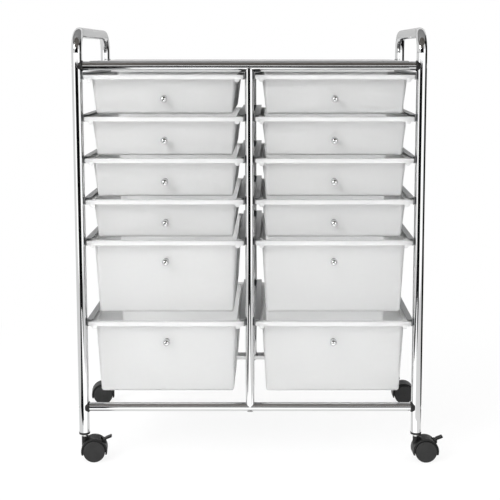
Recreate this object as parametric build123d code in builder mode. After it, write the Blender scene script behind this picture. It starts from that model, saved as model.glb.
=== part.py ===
"""Rolling drawer cart: a chrome tube frame on four casters, with two columns of sliding drawers.

Millimetres. The origin is on the floor under the middle of the cart, +Z is up and the drawers open towards -Y.
"""

import os
from math import atan, cos, degrees, radians, sin, tan

from build123d import *

os.makedirs("parts", exist_ok=True)

# Side frames: each is one tube, bent twice over the handle
frame_width = 632
post_spacing = 345
side_tube = 19
tube_wall = 1.2
handle_bend = 36
handle_rise = 59

# Rails and centre posts
rail_tube = 16
bottom_rail_height = 101.5
threaded_end = 18
spigot_length = 20

# Saddle collars and bolts, whose heads sit in dimples pressed into the posts
collar_diameter = 20
collar_tip = 3.5
collar_end = 11
collar_round = 2.5
bolt_diameter = 6
bolt_head_diameter = 11
bolt_head_height = 2
bolt_head_rim = 0.8
bolt_engagement = 15
dimple_depth = 2.3

# Top shelf: a sheet rolled round both top rails, with its side edges turned down
shelf_end_gap = 12.5
shelf_sheet = 1
shelf_roll_angle = 110
shelf_side_flange = 8
shelf_flange_setback = 3

# Runners: channels open towards the drawer
runner_height = 13
runner_flange = 11
runner_sheet = 1.2
runner_rise = 5
runner_tail = 5
runner_bend = 1

# Drawers, from the floor up: two deep rows below four shallow ones
deep_rows = 2
shallow_rows = 4
deep_height = 135
shallow_height = 70
bottom_gap = 18.8
deep_gap = 14.2
shallow_gap = 4.6
rail_gap = 1.6
drawer_wall = 2
rim_overhang = 11.5
rim_setback = 0.5
rim_corner = 3
front_lip = 8
body_inset = 8
body_corner = 12
body_foot_radius = 5
stop_tab_width = 9
stop_tab_drop = 5

# Knobs and their screws
knob_ball = 13
knob_neck = 7
knob_neck_length = 4
knob_base = 10
knob_base_height = 1.5
shallow_knob_drop = 41
deep_knob_drop = 38
screw_diameter = 4
screw_head_diameter = 8
screw_head_height = 2.4
screw_engagement = 8

# Casters
wheel_diameter = 40
wheel_width = 15
wheel_gap = 9
wheel_dome = 1
wheel_edge = 2
wheel_chamfer = 1
axle_diameter = 5
axle_engagement = 10
caster_trail = 17.5
hood_thickness = 3
hood_width = 32
hood_tip_height = 13.5
hood_edge = 1.2
hub_diameter = 16
neck_diameter = 11
neck_rise = 1.8
neck_bore_depth = 10.8
gusset_length = 7
stem_diameter = 8
stem_shoulder = 10.5
stem_show = 4.6
socket_flange = 3.5
socket_flange_diameter = 20
socket_rail_gap = 13.7
caster_yaw = {"front_left": 6, "front_right": 2, "rear_left": 187.5, "rear_right": 0}
braked = ("front_left", "front_right")

# Brake levers
lever_angle = 42
lever_barrel = 6.4
lever_pin = 3
lever_width = 11
lever_thickness = 3.2
lever_reach = 12.5
lever_lift = 4.2
lever_rise = 3.4
lever_nose = 3.5
lever_nose_thickness = 2.6
lever_ear = 2.5
lever_knee = 3.5
lever_standoff = 0.5

# Clearances
seat_gap = 0.05
thread_gap = 0.05
running_gap = 0.05
bolt_hole_gap = 0.25
slide_gap = 0.3
rim_side_play = 1
wheel_hood_gap = 1
web_gap = 0.5
end_play = 0.3

# Places that follow from the sizes above
sides = {"left": -1, "right": 1}
ends = {"front": -1, "rear": 1}
side_radius = side_tube / 2
rail_radius = rail_tube / 2
bore_radius = rail_radius - tube_wall
post_x = (frame_width - side_tube) / 2
post_y = post_spacing / 2
rail_half = post_x - collar_end
shelf_half = rail_half - shelf_end_gap
roll_inner = rail_radius + seat_gap
roll_outer = roll_inner + shelf_sheet
bolt_radius = bolt_diameter / 2 - thread_gap
bolt_hole = bolt_diameter / 2 + bolt_hole_gap
dimple_seat = side_radius - dimple_depth
dimple_radius = bolt_head_diameter / 2 + bolt_hole_gap

deep_pitch = deep_height + deep_gap
shallow_pitch = shallow_height + shallow_gap
lowest_floor = bottom_rail_height + rail_radius + bottom_gap
deep_rims = [lowest_floor + deep_height + row * deep_pitch for row in range(deep_rows)]
shallow_rims = [deep_rims[-1] + row * shallow_pitch for row in range(1, shallow_rows + 1)]
rows = [(rim, shallow_height, shallow_knob_drop) for rim in reversed(shallow_rims)]
rows += [(rim, deep_height, deep_knob_drop) for rim in reversed(deep_rims)]
top_rail_height = shallow_rims[-1] + runner_rise + rail_gap + roll_outer
rail_heights = {"top": top_rail_height, "bottom": bottom_rail_height}
handle_axis = top_rail_height + handle_rise

outer_web = post_x - side_radius - seat_gap
inner_web = rail_radius + seat_gap
column_x = (outer_web + inner_web) / 2
rim_width = outer_web - inner_web - 2 * (runner_sheet + rim_side_play)
rim_front = -post_y - side_radius
rim_rear = post_y - rim_setback
rim_depth = rim_rear - rim_front
drawer_y = (rim_front + rim_rear) / 2
body_width = rim_width - 2 * rim_overhang
body_depth = rim_depth - 2 * rim_overhang
runner_drop = runner_height - runner_rise
side_lip = runner_drop - runner_sheet - slide_gap
runner_front = rim_front + drawer_wall + slide_gap
runner_rear = post_y + runner_tail

wheel_radius = wheel_diameter / 2
pocket_radius = wheel_radius + wheel_hood_gap
hood_radius = pocket_radius + hood_thickness
web_half = wheel_gap / 2 - web_gap
neck_top = wheel_radius + hood_radius + neck_rise
socket_seat = neck_top + stem_show
post_foot = socket_seat + socket_flange
socket_length = bottom_rail_height - post_foot - socket_rail_gap
stem_radius = stem_diameter / 2


def save(piece, name):
    """Label a finished piece and write its file."""
    piece.part.label = name
    export_step(piece.part, f"parts/{name}.step")


# Side frames, dimpled and drilled for the rail bolts
for side, sx in sides.items():
    with BuildPart() as side_frame:
        with BuildLine(Plane.YZ.offset(sx * post_x)) as bent_run:
            FilletPolyline(
                (-post_y, post_foot),
                (-post_y, handle_axis),
                (post_y, handle_axis),
                (post_y, post_foot),
                radius=handle_bend,
            )
        with BuildSketch(Plane(bent_run.line @ 0, z_dir=bent_run.line % 0)):
            Circle(side_radius)
            Circle(side_radius - tube_wall, mode=Mode.SUBTRACT)
        sweep()
        for height in rail_heights.values():
            for sy in ends.values():
                across = Plane((sx * post_x, sy * post_y, height), z_dir=(sx, 0, 0))
                with BuildPart(mode=Mode.PRIVATE) as dimple:
                    with BuildSketch(across.offset(dimple_seat - tube_wall)):
                        Circle(dimple_radius + tube_wall)
                    extrude(amount=side_tube)
                    with BuildSketch(Plane.XY.offset(height - side_tube)):
                        with Locations((sx * post_x, sy * post_y)):
                            Circle(side_radius - tube_wall / 2)
                    extrude(amount=2 * side_tube, mode=Mode.INTERSECT)
                add(dimple.part)
                with BuildSketch(across.offset(dimple_seat)):
                    Circle(dimple_radius)
                extrude(amount=side_tube, mode=Mode.SUBTRACT)
                with Locations(across):
                    Hole(bolt_hole, side_tube)
    save(side_frame, f"{side}_side_frame")

# Rails: tubes with solid threaded ends. The top ones carry a spigot for the centre post,
# the bottom ones are drilled for its bolt.
for level, height in rail_heights.items():
    for end, sy in ends.items():
        with BuildPart() as rail:
            with BuildSketch(Plane.YZ):
                with Locations((sy * post_y, height)):
                    Circle(rail_radius)
            extrude(amount=rail_half, both=True)
            if level == "top":
                with BuildSketch(Plane.XY.offset(height - rail_radius - spigot_length)):
                    with Locations((0, sy * post_y)):
                        Circle(bore_radius - seat_gap)
                extrude(amount=rail_radius + spigot_length)
            with BuildSketch(Plane.YZ):
                with Locations((sy * post_y, height)):
                    Circle(bore_radius)
            extrude(amount=rail_half - threaded_end, both=True, mode=Mode.SUBTRACT)
            for sx in sides.values():
                with Locations(Plane((sx * rail_half, sy * post_y, height), z_dir=(1, 0, 0))):
                    Hole(bolt_diameter / 2, threaded_end + tube_wall)
            if level == "bottom":
                with Locations((0, sy * post_y, height)):
                    Hole(bolt_hole, rail_tube)
        save(rail, f"{level}_{end}_rail")

# Centre posts: coped over the bottom rail, pushed over the top rail's spigot
for end, sy in ends.items():
    with BuildPart() as centre_post:
        with BuildSketch(Plane.XY.offset(bottom_rail_height)):
            with Locations((0, sy * post_y)):
                Circle(rail_radius)
                Circle(bore_radius, mode=Mode.SUBTRACT)
        extrude(amount=top_rail_height - bottom_rail_height)
        with BuildSketch(Plane.XY.offset(bottom_rail_height)):
            with Locations((0, sy * post_y)):
                Circle(bore_radius)
                Circle(bolt_diameter / 2, mode=Mode.SUBTRACT)
        extrude(amount=rail_radius + threaded_end)
        with BuildSketch(Plane.YZ):
            with Locations((sy * post_y, bottom_rail_height)):
                Circle(rail_radius + seat_gap)
            with Locations((sy * post_y, top_rail_height)):
                Circle(roll_outer + seat_gap)
        extrude(amount=rail_tube, both=True, mode=Mode.SUBTRACT)
    save(centre_post, f"centre_{end}_post")

# Top shelf
with BuildPart() as top_shelf:
    with BuildSketch(Plane.YZ):
        with BuildLine():
            outer_front = CenterArc((-post_y, top_rail_height), roll_outer, 90, shelf_roll_angle)
            inner_front = CenterArc((-post_y, top_rail_height), roll_inner, 90, shelf_roll_angle)
            outer_rear = CenterArc((post_y, top_rail_height), roll_outer, 90, -shelf_roll_angle)
            inner_rear = CenterArc((post_y, top_rail_height), roll_inner, 90, -shelf_roll_angle)
            Line(outer_front @ 0, outer_rear @ 0)
            Line(inner_front @ 0, inner_rear @ 0)
            Line(outer_front @ 1, inner_front @ 1)
            Line(outer_rear @ 1, inner_rear @ 1)
        make_face()
    extrude(amount=shelf_half, both=True)
    for sx in sides.values():
        with BuildSketch(Plane.YZ.offset(sx * shelf_half)):
            with Locations((0, top_rail_height + roll_outer)):
                Rectangle(
                    post_spacing - 2 * (rail_radius + shelf_flange_setback),
                    shelf_side_flange,
                    align=(Align.CENTER, Align.MAX),
                )
        extrude(amount=-sx * shelf_sheet)
save(top_shelf, "top_shelf")

# Saddle collars between the rail ends and the posts
with BuildPart() as rail_collars:
    for height in rail_heights.values():
        for sy in ends.values():
            for sx in sides.values():
                with BuildSketch(Plane.YZ.offset(sx * (post_x - collar_end))):
                    with Locations((sy * post_y, height)):
                        Circle(collar_diameter / 2)
                        Circle(bolt_hole, mode=Mode.SUBTRACT)
                extrude(amount=sx * (collar_end - collar_tip))
    rims = rail_collars.edges().filter_by(GeomType.CIRCLE).filter_by(lambda edge: edge.radius > bolt_diameter)
    fillet(rims.filter_by(lambda edge: abs(edge.center().X) < rail_half + seat_gap), collar_round)
    for sy in ends.values():
        for sx in sides.values():
            with BuildSketch(Plane.XY):
                with Locations((sx * post_x, sy * post_y)):
                    Circle(side_radius + seat_gap)
            extrude(amount=handle_axis, mode=Mode.SUBTRACT)
save(rail_collars, "rail_collars")


# Frame bolts: through the posts into the rail ends, and up through the bottom rails into the centre posts
bolt_seats = []
for sy in ends.values():
    for sx in sides.values():
        for height in rail_heights.values():
            in_dimple = Plane((sx * (post_x + dimple_seat + seat_gap), sy * post_y, height), z_dir=(sx, 0, 0))
            bolt_seats.append((in_dimple, dimple_seat + collar_end + bolt_engagement))
    under_rail = Plane((0, sy * post_y, bottom_rail_height - rail_radius), z_dir=(0, 0, -1))
    bolt_seats.append((under_rail, rail_tube + bolt_engagement))

with BuildPart() as frame_bolts:
    for bolt_seat, length in bolt_seats:
        with BuildSketch(Plane(bolt_seat.origin, x_dir=bolt_seat.x_dir, z_dir=-bolt_seat.y_dir)):
            with BuildLine():
                Polyline(
                    (0, bolt_head_height),
                    (0, 0),
                    (bolt_head_diameter / 2, 0),
                    (bolt_head_diameter / 2, bolt_head_rim),
                )
                TangentArc(
                    (0, bolt_head_height), (bolt_head_diameter / 2, bolt_head_rim), tangent=(1, 0)
                )
            make_face()
        revolve(axis=Axis(bolt_seat.origin, bolt_seat.z_dir))
        with BuildSketch(bolt_seat):
            Circle(bolt_radius)
        extrude(amount=-length)
save(frame_bolts, "frame_bolts")

# Runners: welded to the posts, one on each side of every drawer
runner_webs = {
    "left_outer": (-outer_web, 1),
    "left_inner": (-inner_web, -1),
    "right_inner": (inner_web, 1),
    "right_outer": (outer_web, -1),
}
for place, (web_x, facing) in runner_webs.items():
    with BuildPart() as runners:
        for rim, _, _ in rows:
            with BuildSketch(Plane.XZ.offset(-runner_front)):
                with Locations((web_x + facing * runner_flange / 2, rim + runner_rise - runner_height / 2)):
                    channel = Rectangle(runner_flange, runner_height)
                fillet(channel.vertices().sort_by(Axis.X, reverse=facing < 0)[:2], runner_bend)
                with Locations(
                    (web_x + facing * (runner_flange + runner_sheet) / 2, rim + runner_rise - runner_height / 2)
                ):
                    Rectangle(runner_flange - runner_sheet, runner_height - 2 * runner_sheet, mode=Mode.SUBTRACT)
            extrude(amount=runner_front - runner_rear)
    save(runners, f"{place}_runners")


def knob_seat(x, rim, height, drop):
    """Plane on the sloping drawer front where a knob stands, facing out."""
    draft = atan(body_inset / height)
    front = rim_front + rim_overhang + drop * tan(draft)
    return Plane((x, front, rim - drop), x_dir=(1, 0, 0), z_dir=(0, -cos(draft), -sin(draft)))


# Drawers: a drafted tub with an overhanging rim whose edges turn down into the runners
for side, sx in sides.items():
    for number, (rim, height, drop) in enumerate(rows, start=1):
        centre = (sx * column_x, drawer_y)
        draft = degrees(atan(body_inset / height))
        seat = knob_seat(sx * column_x, rim, height, drop)
        with BuildPart() as drawer:
            with BuildSketch(Plane.XY.offset(rim)):
                with Locations(centre):
                    RectangleRounded(body_width, body_depth, body_corner)
            extrude(amount=-height, taper=draft)
            fillet(drawer.faces().sort_by(Axis.Z)[0].edges(), body_foot_radius)
            with BuildSketch(Plane.XY.offset(rim)):
                with Locations(centre):
                    RectangleRounded(rim_width, rim_depth, rim_corner)
            extrude(amount=-drawer_wall)
            with BuildSketch(Plane.XY.offset(rim)):
                with Locations(centre):
                    RectangleRounded(rim_width, rim_depth, rim_corner)
                    Rectangle(rim_width - 2 * drawer_wall, rim_depth - 2 * drawer_wall, mode=Mode.SUBTRACT)
            extrude(amount=-side_lip)
            with BuildSketch(Plane.XZ.offset(-rim_front)):
                with Locations((sx * column_x, rim)):
                    Rectangle(rim_width - 2 * rim_corner, front_lip, align=(Align.CENTER, Align.MAX))
                for corner in (-1, 1):
                    tab_x = sx * column_x + corner * body_width / 2
                    with Locations((tab_x, rim - front_lip - stop_tab_drop + stop_tab_width / 2)):
                        Circle(stop_tab_width / 2)
            extrude(amount=-drawer_wall)
            with BuildSketch(Plane.XY.offset(rim)):
                with Locations(centre):
                    RectangleRounded(
                        body_width - 2 * drawer_wall, body_depth - 2 * drawer_wall, body_corner - drawer_wall
                    )
            extrude(amount=-(height - drawer_wall), taper=draft, mode=Mode.SUBTRACT)
            with Locations(seat):
                Hole(screw_diameter / 2 + bolt_hole_gap, knob_ball)
        save(drawer, f"{side}_drawer_{number}")

        with BuildPart() as knob:
            with BuildSketch(Plane(seat.origin, x_dir=seat.x_dir, z_dir=-seat.y_dir)):
                with BuildLine():
                    ball_middle = knob_base_height + knob_neck_length + knob_ball / 2
                    neck_meets = ball_middle - ((knob_ball / 2) ** 2 - (knob_neck / 2) ** 2) ** 0.5
                    Polyline(
                        (knob_neck / 2, neck_meets),
                        (knob_neck / 2, knob_base_height),
                        (knob_base / 2, knob_base_height),
                        (knob_base / 2, 0),
                        (0, 0),
                        (0, ball_middle + knob_ball / 2),
                    )
                    ThreePointArc(
                        (0, ball_middle + knob_ball / 2),
                        (knob_ball / 2, ball_middle),
                        (knob_neck / 2, neck_meets),
                    )
                make_face()
            revolve(axis=Axis(seat.origin, seat.z_dir))
            with Locations(seat):
                Hole(screw_diameter / 2, screw_engagement + end_play)
            inside = seat.offset(-drawer_wall / cos(radians(draft)) - seat_gap)
            with BuildSketch(inside):
                Circle(screw_head_diameter / 2)
            extrude(amount=-screw_head_height)
            with BuildSketch(inside):
                Circle(screw_diameter / 2 - thread_gap)
            extrude(amount=drawer_wall + screw_engagement)
        save(knob, f"{side}_knob_{number}")

# Caster sockets and stems: a plastic insert in each post, and the steel pin it holds
with BuildPart() as caster_sockets:
    for sy in ends.values():
        for sx in sides.values():
            with BuildSketch(Plane.XY.offset(socket_seat)):
                with Locations((sx * post_x, sy * post_y)):
                    Circle(socket_flange_diameter / 2)
                    Circle(stem_radius + seat_gap, mode=Mode.SUBTRACT)
            extrude(amount=socket_flange)
            with BuildSketch(Plane.XY.offset(post_foot)):
                with Locations((sx * post_x, sy * post_y)):
                    Circle(side_radius - tube_wall - seat_gap)
                    Circle(stem_radius + seat_gap, mode=Mode.SUBTRACT)
            extrude(amount=socket_length)
save(caster_sockets, "caster_sockets")

with BuildPart() as caster_stems:
    for sy in ends.values():
        for sx in sides.values():
            with BuildSketch(Plane.XY.offset(neck_top - neck_bore_depth + end_play)):
                with Locations((sx * post_x, sy * post_y)):
                    Circle(stem_radius)
            extrude(amount=post_foot + socket_length - neck_top + neck_bore_depth - end_play)
            with BuildSketch(Plane.XY.offset(neck_top + end_play)):
                with Locations((sx * post_x, sy * post_y)):
                    Circle(stem_shoulder / 2)
            extrude(amount=stem_show - end_play)
save(caster_stems, "caster_stems")

# Casters
pivot_x = caster_trail + (hood_radius + lever_standoff) * cos(radians(lever_angle))
pivot_z = wheel_radius + (hood_radius + lever_standoff) * sin(radians(lever_angle))
lever_half = lever_width / 2
ear_inner = lever_half + slide_gap
ear_outer = ear_inner + lever_ear

for end, sy in ends.items():
    for side, sx in sides.items():
        corner = f"{end}_{side}"
        yaw = radians(caster_yaw[corner])
        middle = Plane(
            (sx * post_x, sy * post_y, 0), x_dir=(cos(yaw), sin(yaw), 0), z_dir=(sin(yaw), -cos(yaw), 0)
        )
        hub = middle.from_local_coords((caster_trail, wheel_radius, 0))

        with BuildPart() as hood:
            with BuildSketch(middle):
                with Locations((caster_trail, wheel_radius)):
                    Circle(hood_radius)
                with Locations((caster_trail, hood_tip_height)):
                    Rectangle(
                        2 * hood_radius, hood_radius, align=(Align.CENTER, Align.MAX), mode=Mode.SUBTRACT
                    )
            extrude(amount=hood_width / 2, both=True)
            fillet(hood.edges().filter_by(GeomType.CIRCLE), hood_edge)
            with BuildSketch(middle):
                with Locations((caster_trail, wheel_radius)):
                    Circle(hub_diameter / 2)
                Polygon(
                    (0, wheel_radius),
                    (0, neck_top),
                    (neck_diameter / 2, neck_top),
                    (neck_diameter / 2 + gusset_length, wheel_radius + hood_radius - hood_thickness),
                    (caster_trail, wheel_radius),
                    align=None,
                )
            extrude(amount=web_half, both=True)
            with BuildSketch(Plane.XY.offset(wheel_radius)):
                with Locations((sx * post_x, sy * post_y)):
                    Circle(neck_diameter / 2)
            extrude(amount=neck_top - wheel_radius)
            if corner in braked:
                with BuildSketch(middle):
                    with Locations((pivot_x, pivot_z)):
                        Circle(lever_barrel / 2)
                extrude(amount=ear_outer, both=True)
                with BuildSketch(middle):
                    with Locations((pivot_x, pivot_z)):
                        Rectangle(2 * lever_barrel, 2 * lever_barrel)
                extrude(amount=ear_inner, both=True, mode=Mode.SUBTRACT)
                with Locations(Plane(middle.from_local_coords((pivot_x, pivot_z, 0)), z_dir=middle.z_dir)):
                    Hole(lever_pin / 2 + running_gap, ear_outer)
            for face in (-1, 1):
                with BuildSketch(middle.offset(face * web_half)):
                    with Locations((caster_trail, wheel_radius)):
                        Circle(pocket_radius)
                extrude(amount=face * hood_width, mode=Mode.SUBTRACT)
            with Locations(Plane(hub, z_dir=middle.z_dir)):
                Hole(axle_diameter / 2 + seat_gap, hood_width)
            with Locations((sx * post_x, sy * post_y, neck_top)):
                Hole(stem_radius + running_gap, neck_bore_depth)
        save(hood, f"{corner}_caster_hood")

        with BuildPart() as axle:
            with BuildSketch(Plane(hub, z_dir=middle.z_dir)):
                Circle(axle_diameter / 2)
            extrude(amount=wheel_gap / 2 + axle_engagement, both=True)
        save(axle, f"{corner}_caster_axle")

        for place, toward in (("front", -1), ("back", 1)):
            face = 1 if middle.z_dir.Y * toward > 0 else -1
            outward = middle.z_dir * face
            inner_face = wheel_gap / 2
            outer_edge = inner_face + wheel_width - wheel_dome
            apex = inner_face + wheel_width
            bore_end = inner_face + axle_engagement + end_play
            bore = axle_diameter / 2 + running_gap
            with BuildPart() as wheel:
                with BuildSketch(Plane(hub, x_dir=outward, z_dir=outward.cross(Vector(0, 0, 1)))):
                    with BuildLine():
                        Polyline(
                            (apex, 0),
                            (bore_end, 0),
                            (bore_end, bore),
                            (inner_face, bore),
                            (inner_face, wheel_radius - wheel_chamfer),
                            (inner_face + wheel_chamfer, wheel_radius),
                            (outer_edge - wheel_edge, wheel_radius),
                        )
                        CenterArc((outer_edge - wheel_edge, wheel_radius - wheel_edge), wheel_edge, 0, 90)
                        TangentArc((apex, 0), (outer_edge, wheel_radius - wheel_edge), tangent=(0, 1))
                    make_face()
                revolve(axis=Axis(hub, outward))
            save(wheel, f"{corner}_caster_{place}_wheel")

        if corner in braked:
            pivot = (pivot_x, pivot_z)
            knee = (pivot_x + lever_knee, pivot_z + lever_lift)
            toe = (pivot_x + lever_reach, pivot_z + lever_lift + lever_rise)
            nose = (pivot_x, pivot_z - lever_nose)
            with BuildPart() as lever:
                with BuildSketch(middle):
                    with BuildLine():
                        Polyline(pivot, knee, toe)
                    trace(line_width=lever_thickness)
                    with Locations(knee, toe):
                        Circle(lever_thickness / 2)
                    with BuildLine():
                        Line(pivot, nose)
                    trace(line_width=lever_nose_thickness)
                    with Locations(nose):
                        Circle(lever_nose_thickness / 2)
                    with Locations(pivot):
                        Circle(lever_barrel / 2)
                extrude(amount=lever_half, both=True)
                with BuildSketch(middle):
                    with Locations(pivot):
                        Circle(lever_pin / 2)
                extrude(amount=ear_outer - end_play, both=True)
            save(lever, f"{corner}_brake_lever")
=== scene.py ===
"""A rolling drawer cart: chrome tube, two columns of frosted white drawers, black twin-wheel casters.

Metres. The floor is at z = 0, the drawers open towards -Y.
"""

from math import radians

import bpy
import numpy as np
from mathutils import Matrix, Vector


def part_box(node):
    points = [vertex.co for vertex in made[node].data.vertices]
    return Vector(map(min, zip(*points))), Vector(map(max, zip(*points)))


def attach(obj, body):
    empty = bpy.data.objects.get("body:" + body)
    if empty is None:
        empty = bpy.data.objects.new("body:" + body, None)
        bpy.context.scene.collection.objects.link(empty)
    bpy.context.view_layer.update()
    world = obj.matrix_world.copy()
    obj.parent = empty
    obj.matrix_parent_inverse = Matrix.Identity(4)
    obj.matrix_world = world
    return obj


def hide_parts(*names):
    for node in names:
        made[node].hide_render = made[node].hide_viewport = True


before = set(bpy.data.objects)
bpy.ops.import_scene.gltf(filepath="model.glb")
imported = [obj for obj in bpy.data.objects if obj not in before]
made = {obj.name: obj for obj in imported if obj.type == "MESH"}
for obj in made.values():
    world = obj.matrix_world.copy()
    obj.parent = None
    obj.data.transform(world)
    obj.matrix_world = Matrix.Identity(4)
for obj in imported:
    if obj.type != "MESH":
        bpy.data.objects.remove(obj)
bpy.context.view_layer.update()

# The side frames, rails and centre posts are drawn steel tube, polished and chromed.
# The tube keeps faint draw lines along its length under the plating.


def shader_of(name, colour, roughness, metal=0.0):
    """A new material: its base colour, roughness and metal stand on the shader's own sockets."""
    finish = bpy.data.materials.new(name)
    finish.use_nodes = True
    tree = finish.node_tree
    shader = tree.nodes["Principled BSDF"]
    shader.inputs["Base Color"].default_value = (*colour, 1)
    shader.inputs["Roughness"].default_value = roughness
    shader.inputs["Metallic"].default_value = metal
    return finish, tree, shader


def speckle(tree, stretch, scale, detail=3.0):
    """Noise over the piece's own coordinates, drawn out along an axis by the stretch factors."""
    place = tree.nodes.new("ShaderNodeTexCoord")
    drawn = tree.nodes.new("ShaderNodeMapping")
    drawn.inputs["Scale"].default_value = stretch
    noise = tree.nodes.new("ShaderNodeTexNoise")
    noise.inputs["Scale"].default_value = scale
    noise.inputs["Detail"].default_value = detail
    tree.links.new(place.outputs["Object"], drawn.inputs["Vector"])
    tree.links.new(drawn.outputs["Vector"], noise.inputs["Vector"])
    return noise.outputs["Fac"]


def spread(tree, source, low, high, socket):
    """Carry a 0 to 1 pattern to a socket as a value between low and high."""
    band = tree.nodes.new("ShaderNodeMapRange")
    band.inputs["From Min"].default_value = 0.3
    band.inputs["From Max"].default_value = 0.7
    band.inputs["To Min"].default_value = low
    band.inputs["To Max"].default_value = high
    tree.links.new(source, band.inputs["Value"])
    tree.links.new(band.outputs["Result"], socket)


def tint(tree, source, dark, light, socket):
    """Carry a 0 to 1 pattern to a colour socket, from the dark tone to the light one."""
    ramp = tree.nodes.new("ShaderNodeValToRGB")
    ramp.color_ramp.elements[0].position = 0.3
    ramp.color_ramp.elements[1].position = 0.7
    ramp.color_ramp.elements[0].color = (*dark, 1)
    ramp.color_ramp.elements[1].color = (*light, 1)
    tree.links.new(source, ramp.inputs["Fac"])
    tree.links.new(ramp.outputs["Color"], socket)


def relief(tree, shader, source, depth):
    """Raise the surface by a pattern, depth in metres."""
    bump = tree.nodes.new("ShaderNodeBump")
    bump.inputs["Strength"].default_value = 0.5
    bump.inputs["Distance"].default_value = depth
    tree.links.new(source, bump.inputs["Height"])
    tree.links.new(bump.outputs["Normal"], shader.inputs["Normal"])


def wear(names, finish):
    """Give CAD nodes their finish in place of the plain one they came with."""
    for name in names:
        made[name].data.materials.clear()
        made[name].data.materials.append(finish)


def chrome(name, stretch):
    """Bright chrome whose draw lines run along the stretched axis."""
    finish, tree, shader = shader_of(name, (0.63, 0.635, 0.64), 0.04, 1.0)
    lines = speckle(tree, stretch, 220.0)
    spread(tree, lines, 0.02, 0.07, shader.inputs["Roughness"])
    cloud = speckle(tree, (1, 1, 1), 9.0, 2.0)
    tint(tree, cloud, (0.61, 0.615, 0.62), (0.65, 0.65, 0.65), shader.inputs["Base Color"])
    relief(tree, shader, lines, 0.000004)
    return finish


upright_chrome = chrome("upright_chrome", (1, 1, 0.02))
rail_chrome = chrome("rail_chrome", (0.02, 1, 1))
wear(["left_side_frame", "right_side_frame", "centre_front_post", "centre_rear_post"], upright_chrome)
wear(["top_front_rail", "top_rear_rail", "bottom_front_rail", "bottom_rear_rail"], rail_chrome)

# The top shelf is one plated sheet, rolled round the two top rails.
# Rolling leaves it a little duller than the tube, with a brushed grain across the cart.
shelf_plate, tree, shader = shader_of("shelf_plate", (0.62, 0.62, 0.62), 0.12, 1.0)
grain = speckle(tree, (0.015, 1, 1), 420.0)
spread(tree, grain, 0.06, 0.16, shader.inputs["Roughness"])
relief(tree, shader, grain, 0.000006)
wear(["top_shelf"], shelf_plate)

# The runners are channels folded from dull zinc-plated strip, welded to the posts.
# Zinc shows a grey spangle, darker and lighter in patches at random.
runner_zinc, tree, shader = shader_of("runner_zinc", (0.33, 0.335, 0.34), 0.36, 1.0)
spangle = speckle(tree, (1, 0.25, 1), 160.0)
tint(tree, spangle, (0.26, 0.265, 0.27), (0.4, 0.405, 0.41), shader.inputs["Base Color"])
spread(tree, spangle, 0.28, 0.45, shader.inputs["Roughness"])
wear([f"{side}_{place}_runners" for side in ("left", "right") for place in ("outer", "inner")], runner_zinc)

# Bolts, caster stems and axles are bright zinc-plated steel, turned and cold headed.
# They are duller than the chrome.
bolt_steel, tree, shader = shader_of("bolt_steel", (0.55, 0.55, 0.54), 0.28, 1.0)
turned_marks = speckle(tree, (1, 1, 1), 500.0)
spread(tree, turned_marks, 0.2, 0.36, shader.inputs["Roughness"])
wear(["frame_bolts", "caster_stems"], bolt_steel)
corners = ("front_left", "front_right", "rear_left", "rear_right")
wear([f"{corner}_caster_axle" for corner in corners], bolt_steel)

# Saddle collars, foot sockets, hoods, wheels and brake levers are moulded black nylon.
# The mould gives it a fine satin grain.


def nylon(name, tone, low, high):
    """Black moulded nylon of one tone, between a low and a high roughness."""
    finish, tree, shader = shader_of(name, (tone, tone, tone), 0.5)
    shader.inputs["Specular IOR Level"].default_value = 0.3
    grain = speckle(tree, (1, 1, 1), 900.0)
    mottle = speckle(tree, (1, 1, 1), 70.0)
    tint(tree, mottle, (tone * 0.8,) * 3, (tone * 1.25,) * 3, shader.inputs["Base Color"])
    spread(tree, mottle, low, high, shader.inputs["Roughness"])
    relief(tree, shader, grain, 0.00006)
    return finish


fitting_nylon = nylon("fitting_nylon", 0.006, 0.4, 0.55)
wheel_nylon = nylon("wheel_nylon", 0.016, 0.45, 0.6)
wear(["rail_collars", "caster_sockets", "front_left_brake_lever", "front_right_brake_lever"], fitting_nylon)
wear([f"{corner}_caster_hood" for corner in corners], fitting_nylon)
wear([f"{corner}_caster_{place}_wheel" for corner in corners for place in ("front", "back")], wheel_nylon)

# Each drawer is one thin moulding in frosted white polypropylene: a drafted tub with rounded corners
# and a rim that overhangs all round, turns down into the runners, and carries a stop tab at each end.


def rounded_rings(half_x, half_y, corner, steps):
    """Rows of rounded rectangles: each corner is a quarter circle about its own centre."""
    quarter = np.repeat(np.arange(4), steps + 1)
    turn = np.tile(np.linspace(0, np.pi / 2, steps + 1), 4) + quarter * np.pi / 2
    sign_x = np.array([1, -1, -1, 1])[quarter]
    sign_y = np.array([1, 1, -1, -1])[quarter]
    x = sign_x * (half_x - corner)[:, None] + corner[:, None] * np.cos(turn)
    y = sign_y * (half_y - corner)[:, None] + corner[:, None] * np.sin(turn)
    return x, y, turn


def skin(grid, first=0):
    """Faces of a grid of rings, closed round each ring, with a flat cap on the first and the last ring."""
    rows, count = grid.shape[:2]
    place = np.arange(rows * count).reshape(rows, count) + first
    after = np.roll(place, -1, axis=1)
    sides = np.stack([place[:-1], after[:-1], after[1:], place[1:]], axis=-1).reshape(-1, 4)
    return sides.tolist() + [place[0][::-1].tolist(), place[-1].tolist()]


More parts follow.
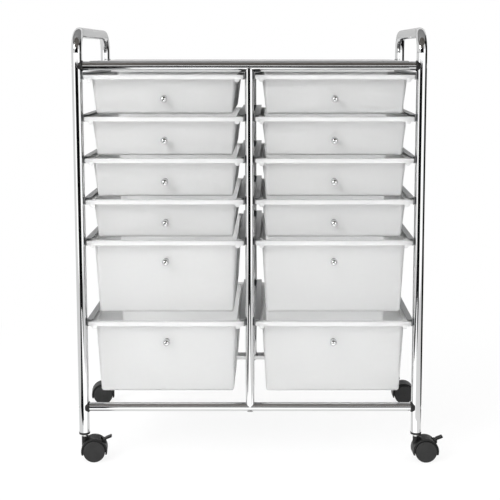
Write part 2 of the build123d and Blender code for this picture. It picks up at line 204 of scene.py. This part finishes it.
def piece_of(name, grids, finish, smooth_below=40):
    """One object from several grids of rings; edges sharper than the given angle stay crisp."""
    points, faces = [], []
    for grid in grids:
        faces += skin(grid, sum(len(p) for p in points))
        points.append(grid.reshape(-1, 3))
    mesh = bpy.data.meshes.new(name)
    mesh.from_pydata(np.concatenate(points).tolist(), [], faces)
    mesh.shade_smooth()
    mesh.set_sharp_from_angle(angle=radians(smooth_below))
    mesh.materials.append(finish)
    made_piece = bpy.data.objects.new(name, mesh)
    bpy.context.scene.collection.objects.link(made_piece)
    return made_piece


def arc(centre_in, centre_z, radius, start, end, steps=5):
    """Points of a profile on a circle, as inset and height, from one angle in degrees to another."""
    turn = np.radians(np.linspace(start, end, steps))
    return np.stack([centre_in + radius * np.cos(turn), centre_z + radius * np.sin(turn)], axis=-1)


frosted, tree, shader = shader_of("frosted_polypropylene", (0.975, 0.975, 0.97), 0.58)
cloud = speckle(tree, (1, 1, 1), 6.0, 2.0)
tint(tree, cloud, (0.965, 0.97, 0.97), (0.985, 0.985, 0.98), shader.inputs["Base Color"])
peel = speckle(tree, (1, 1, 1), 260.0)
relief(tree, shader, peel, 0.00002)
shader.inputs["IOR"].default_value = 1.49
shader.inputs["Transmission Weight"].default_value = 0.68
shader.inputs["Subsurface Weight"].default_value = 0.8
shader.inputs["Subsurface Radius"].default_value = (1.0, 1.0, 1.0)
shader.inputs["Subsurface Scale"].default_value = 0.004

rim_overhang = 0.0115
rim_corner = 0.003
lip_side = 0.0065
lip_front = 0.008
lip_round = 0.0008
lip_edge = 0.0006
mouth_round = 0.001
tub_wall = 0.002
tub_corner = 0.012
tub_draft = 0.008
tub_foot = 0.005
inner_foot = 0.003
least_corner = 0.0005
corner_steps = 6
tab_radius = 0.0045
tab_drop = 0.0085
tab_steps = 24


def stop_tab(x, y, z):
    """Rings of a disc on edge: a full turn about the fore-and-aft axis, its front edge rounded."""
    turn = np.linspace(0, 2 * np.pi, tab_steps, endpoint=False)
    radius = tab_radius - lip_edge * np.array([[0], [0], [1 / 3], [1]])
    set_back = np.array([[tub_wall], [lip_edge], [lip_edge / 3], [0]]) + 0 * turn
    return np.stack([x + radius * np.cos(turn), y + set_back, z + radius * np.sin(turn)], axis=-1)


for side in ("left", "right"):
    for number in range(1, 7):
        name = f"{side}_drawer_{number}"
        low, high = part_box(name)
        middle = (low + high) / 2
        rim_x = (high.x - low.x) / 2
        rim_y = (high.y - low.y) / 2
        height = high.z - low.z
        outer = -rim_overhang
        inner = outer - tub_wall
        under_rim = 2 * tub_wall
        # Profile as inset from the rim's edge and depth below the rim, from the foot up and over
        # the lip to the inside floor
        foot_arc = arc(outer - tub_draft - tub_foot, -height + tub_foot, tub_foot, -90, 0)
        lip_arc = arc(-lip_round, -lip_round, lip_round, 0, 90)
        floor_arc = arc(inner - tub_draft - inner_foot, -height + tub_wall + inner_foot, inner_foot, 0, -90)
        profile = np.concatenate(
            [
                foot_arc,
                [[outer - tub_draft / height * under_rim, -under_rim], [outer + mouth_round, -tub_wall]],
                [[-tub_wall - lip_edge, -tub_wall], [-tub_wall, -tub_wall - lip_edge]],
                [[-tub_wall, -lip_side + lip_edge], [-tub_wall + lip_edge, -lip_side]],
                [[-lip_edge, -lip_side], [0, -lip_side + lip_edge]],
                lip_arc,
                [[inner + mouth_round, 0], [inner - 0.3 * mouth_round, -0.4 * mouth_round]],
                [[inner - 0.7 * mouth_round, -1.4 * mouth_round]],
                floor_arc,
            ]
        )
        inset, depth = profile.T
        is_wall = inset < outer + mouth_round / 2
        wall_corner = np.maximum(tub_corner - np.maximum(outer - inset, 0), least_corner)
        lip_corner = np.maximum(rim_corner + np.minimum(inset, 0), least_corner)
        corner = np.where(is_wall, wall_corner, lip_corner)
        x, y, turn = rounded_rings(rim_x + inset, rim_y + inset, corner, corner_steps)
        face_front = np.clip(-np.sin(turn), 0, 1) ** 4
        lowered = np.where((depth < -under_rim) & ~is_wall, lip_front - lip_side, 0)
        z = depth[:, None] - lowered[:, None] * face_front
        tub = np.stack([x + middle.x, y + middle.y, z + high.z], axis=-1)
        tab_x = rim_x - rim_overhang
        tabs = [stop_tab(middle.x + end * tab_x, low.y, high.z - tab_drop) for end in (-1, 1)]
        drawer = piece_of(name + "_moulding", [tub, *tabs], frosted)
        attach(drawer, name)
        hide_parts(name)

# The knobs are chromed balls on a short neck, screwed from inside through the drawer front.
# Their plating is the brightest on the cart.
knob_chrome, tree, shader = shader_of("knob_chrome", (0.7, 0.7, 0.705), 0.03, 1.0)
haze = speckle(tree, (1, 1, 1), 300.0)
spread(tree, haze, 0.02, 0.06, shader.inputs["Roughness"])
wear([f"{side}_knob_{number}" for side in ("left", "right") for number in range(1, 7)], knob_chrome)

# The studio: a pale floor that runs back to white, a soft box over the front left
# and a weaker one on the right. Dark cards and glowing panels are painted reflections: only glossy rays see
# them, and they light nothing and cast no shadow.
world = bpy.data.worlds.new("studio_white")
bpy.context.scene.world = world
world.use_nodes = True
world.node_tree.nodes["Background"].inputs["Color"].default_value = (1, 1, 1, 1)


def seen_directly(tree, path):
    """1 where a camera, glossy or transmission ray looks, else 0."""
    first = tree.nodes.new("ShaderNodeMath")
    first.operation = "MAXIMUM"
    second = tree.nodes.new("ShaderNodeMath")
    second.operation = "MAXIMUM"
    tree.links.new(path.outputs["Is Camera Ray"], first.inputs[0])
    tree.links.new(path.outputs["Is Glossy Ray"], first.inputs[1])
    tree.links.new(first.outputs[0], second.inputs[0])
    tree.links.new(path.outputs["Is Transmission Ray"], second.inputs[1])
    return second.outputs[0]


floor_paper = bpy.data.materials.new("floor_paper")
floor_paper.use_nodes = True
tree = floor_paper.node_tree
paper = tree.nodes["Principled BSDF"]
paper.inputs["Base Color"].default_value = (0.9, 0.9, 0.9, 1)
paper.inputs["Roughness"].default_value = 0.9
glow = tree.nodes.new("ShaderNodeEmission")
blend = tree.nodes.new("ShaderNodeMixShader")
reach = tree.nodes.new("ShaderNodeVectorMath")
reach.operation = "LENGTH"
whiter = tree.nodes.new("ShaderNodeMapRange")
whiter.interpolation_type = "SMOOTHSTEP"
whiter.inputs["From Min"].default_value = 0.35
whiter.inputs["From Max"].default_value = 1.1
whiter.inputs["To Min"].default_value = 0.86
whiter.inputs["To Max"].default_value = 1.0
tree.links.new(tree.nodes.new("ShaderNodeTexCoord").outputs["Object"], reach.inputs[0])
tree.links.new(reach.outputs["Value"], whiter.inputs["Value"])
share = tree.nodes.new("ShaderNodeMath")
share.operation = "MULTIPLY"
tree.links.new(seen_directly(tree, tree.nodes.new("ShaderNodeLightPath")), share.inputs[0])
tree.links.new(whiter.outputs["Result"], share.inputs[1])
tree.links.new(share.outputs[0], blend.inputs["Fac"])
tree.links.new(paper.outputs[0], blend.inputs[1])
tree.links.new(glow.outputs[0], blend.inputs[2])
tree.links.new(blend.outputs[0], tree.nodes["Material Output"].inputs["Surface"])


def sheet_of(name, corners, finish):
    """A flat four-cornered sheet of the stage."""
    mesh = bpy.data.meshes.new(name)
    mesh.from_pydata(corners, [], [(0, 1, 2, 3)])
    mesh.materials.append(finish)
    sheet = bpy.data.objects.new(name, mesh)
    bpy.context.scene.collection.objects.link(sheet)
    return sheet


sheet_of("floor", [(-8, -8, 0), (8, -8, 0), (8, 8, 0), (-8, 8, 0)], floor_paper)


def matt_card(name, colour):
    """A card with no sheen of its own."""
    finish, tree, shader = shader_of(name, colour, 1.0)
    shader.inputs["Specular IOR Level"].default_value = 0.0
    return finish


card_black = matt_card("card_black", (0.006, 0.006, 0.006))
card_brown = matt_card("card_brown", (0.13, 0.12, 0.11))
card_grey = matt_card("card_grey", (0.3, 0.3, 0.3))
card_pale = matt_card("card_pale", (0.5, 0.5, 0.5))
# Painted reflections: sheets that glow brighter than white, seen only in glossy surfaces, standing in for
# bright studio lights and floor.
glowing_reflection_panel, tree, shader = shader_of("glowing_reflection_panel", (0, 0, 0), 1.0)
shader.inputs["Emission Color"].default_value = (1, 1, 1, 1)
shader.inputs["Emission Strength"].default_value = 1.7
cards = {
    "front_card": (
        [(-1.1, -1.5, 0), (0.6, -1.5, 0), (0.6, -1.5, 0.72), (-1.1, -1.5, 0.72)],
        card_black,
    ),
    "front_panel": (
        [(-1.1, -1.5, 0.72), (0.6, -1.5, 0.72), (0.6, -1.5, 0.95), (-1.1, -1.5, 0.95)],
        glowing_reflection_panel,
    ),
    "left_panel": (
        [(-2.3, -1.2, 0), (-1.1, -1.5, 0), (-1.1, -1.5, 0.95), (-2.3, -1.2, 0.95)],
        glowing_reflection_panel,
    ),
    "right_panel": (
        [(0.6, -1.5, 0), (1.9, -1.1, 0), (1.9, -1.1, 0.95), (0.6, -1.5, 0.95)],
        glowing_reflection_panel,
    ),
    # Painted shade: a black card lying on the floor in front, seen only in reflections, stands in for the
    # shaded floor beside and under the cart.
    "floor_card": (
        [(-1.1, -1.5, 0.003), (0.6, -1.5, 0.003), (-0.3, -0.38, 0.003), (-0.6, -0.32, 0.003)],
        card_black,
    ),
    "floor_panel": (
        [(-0.4, -1.4, 0.004), (-0.1, -1.4, 0.004), (0.2, -0.4, 0.004), (-0.3, -0.4, 0.004)],
        glowing_reflection_panel,
    ),
    "floor_strip": (
        [(-0.35, -0.4, 0.004), (0.35, -0.4, 0.004), (0.35, -0.24, 0.004), (-0.35, -0.24, 0.004)],
        glowing_reflection_panel,
    ),
    "band_card": (
        [(-1.6, -2.7, 1.1), (1.6, -2.7, 1.1), (1.6, -2.7, 1.7), (-1.6, -2.7, 1.7)],
        card_black,
    ),
    "ceiling_card": (
        [(-4, -2.7, 1.7), (4, -2.7, 1.7), (4, -0.7, 2.7), (-4, -0.7, 2.7)],
        card_brown,
    ),
    "roof_card": (
        [(-4, -0.7, 2.7), (4, -0.7, 2.7), (4, 2.0, 2.7), (-4, 2.0, 2.7)],
        card_grey,
    ),
    "back_card": (
        [(-1.2, 2.4, 0.0), (1.2, 2.4, 0.0), (1.2, 2.4, 2.0), (-1.2, 2.4, 2.0)],
        card_pale,
    ),
    "right_card": (
        [(2, -0.7, 0), (2, 1.6, 0), (2, 1.6, 2), (2, -0.7, 2)],
        card_black,
    ),
    "right_floor_card": (
        [(0.5, -0.1, 0.002), (2, -0.7, 0.002), (2, 1.6, 0.002), (0.5, 1.6, 0.002)],
        card_black,
    ),
}
for name, (card_corners, card_finish) in cards.items():
    card = sheet_of(name, card_corners, card_finish)
    card.visible_camera = False
    card.visible_diffuse = False
    card.visible_shadow = False
    card.visible_transmission = False


def soft_box(name, place, aim, size, power):
    """A square area lamp at a place, turned towards a point."""
    lamp = bpy.data.lights.new(name, "AREA")
    lamp.size = size
    lamp.energy = power
    stand = bpy.data.objects.new(name, lamp)
    bpy.context.scene.collection.objects.link(stand)
    stand.location = place
    stand.rotation_euler = (Vector(place) - Vector(aim)).to_track_quat("Z", "Y").to_euler()


soft_box("key_box", (-1.6, -2.0, 2.2), (0, 0, 0.4), 1.4, 78)
soft_box("fill_box", (2.0, -1.6, 1.4), (0, 0, 0.4), 1.4, 6)

look_down = 7.102
lens = bpy.data.cameras.new("photo_lens")
lens.lens = 80.0
lens.sensor_width = 36.0
lens.shift_x = -0.042
lens.shift_y = -0.12
lens.clip_end = 50
viewer = bpy.data.objects.new("photo_lens", lens)
bpy.context.scene.collection.objects.link(viewer)
viewer.location = (0.0385, -2.1587, 0.7519)
viewer.rotation_euler = (radians(90 - look_down), 0, 0)
bpy.context.scene.camera = viewer
bpy.context.scene.view_settings.view_transform = "Standard"
